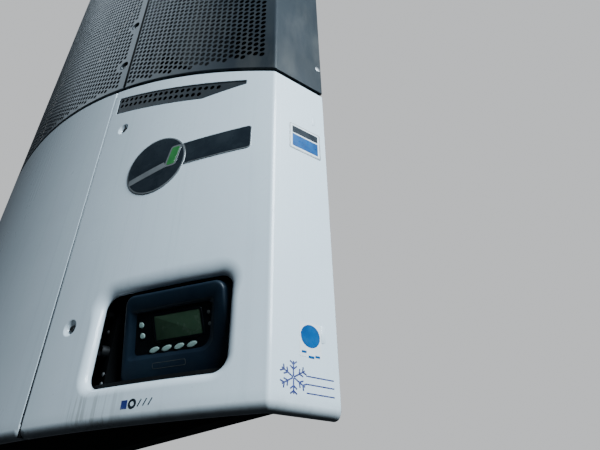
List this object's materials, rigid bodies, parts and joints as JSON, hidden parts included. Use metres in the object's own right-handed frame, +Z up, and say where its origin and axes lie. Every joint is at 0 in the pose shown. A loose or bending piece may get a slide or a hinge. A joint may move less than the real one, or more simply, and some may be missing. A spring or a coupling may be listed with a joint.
{
  "type": "transport refrigeration unit for a trailer front wall",
  "caption": "Nose-mounted refrigeration unit with curved white cover, hinged side doors, dark perforated grilles, display recess and an evaporator box behind the wall.",
  "frame": {"origin": "middle of the rectangular bolt pattern on the rear face of the mounting frame, where it meets the wall", "axes": "+X to the right seen from the front, +Y back into the wall, +Z up; the front faces -Y"},
  "size_m": [2.0638, 0.674, 2.2],
  "materials": {
    "white_cover": "glossy moulded cover, white, road film and drips",
    "grille_grey": "satin dark grey painted sheet",
    "black_plastic": "black moulded plastic",
    "seal_rubber": "black seal",
    "latch_steel": "plated steel",
    "frame_steel": "black painted steel",
    "pan_black": "black painted sheet with road dirt",
    "insulated_white": "white moulded skin over foam",
    "guard_white": "pale coated wire and frame",
    "coil_fins": "finned coil, dusty",
    "fan_black": "moulded black blades",
    "blower_alloy": "spun and pressed alloy",
    "engine_grey": "painted casting",
    "display_plastic": "blue-black moulding",
    "screen_glass": "unlit dark green screen",
    "key_rubber": "pale grey-green keys"
  },
  "bodies": {
    "root": {"centre_panel": "white_cover", "centre_grille": "grille_grey", "right_grille": "grille_grey", "left_grille": "grille_grey", "arch_seal": "seal_rubber", "arch_rail": "frame_steel", "right_post": "frame_steel", "left_post": "frame_steel", "bottom_rail": "frame_steel", "top_rail": "frame_steel", "mounting_frame": "frame_steel", "bulkhead": "insulated_white", "bearing_housing": "frame_steel", "evaporator_housing": "insulated_white", "evaporator_coil": "coil_fins", "return_grille": "guard_white", "outlet_grille": "guard_white", "fan_shroud": "black_plastic", "fan_ring": "black_plastic", "condenser_coil": "coil_fins", "top_cap": "grille_grey", "cap_guard": "grille_grey", "bottom_pan": "pan_black", "engine_cradle": "frame_steel", "engine_block": "engine_grey", "battery": "black_plastic", "control_box": "black_plastic", "display_housing": "display_plastic", "display_screen": "screen_glass", "display_keys": "key_rubber", "right_hinges": "frame_steel", "left_hinges": "frame_steel"},
    "right_door": {"right_door": "white_cover", "right_vent": "black_plastic", "right_latches": "latch_steel"},
    "left_door": {"left_door": "white_cover", "left_vent": "black_plastic", "left_latches": "latch_steel"},
    "fan_rotor": {"condenser_fan": "fan_black", "evaporator_blower": "blower_alloy", "fan_shaft": "latch_steel"}
  },
  "joints": [
    {"name": "right_door_hinge", "type": "hinge", "parent": "root", "child": "right_door", "pos_m": [1.012, -0.036, 0], "axis": [0, 0, 1], "range_deg": [0, 90]},
    {"name": "left_door_hinge", "type": "hinge", "parent": "root", "child": "left_door", "pos_m": [-1.012, -0.036, 0], "axis": [0, 0, -1], "range_deg": [0, 90]},
    {"name": "fan_spin", "type": "hinge", "parent": "root", "child": "fan_rotor", "pos_m": [0, 0, 0.406], "axis": [0, -1, 0], "continuous": true}
  ]
}
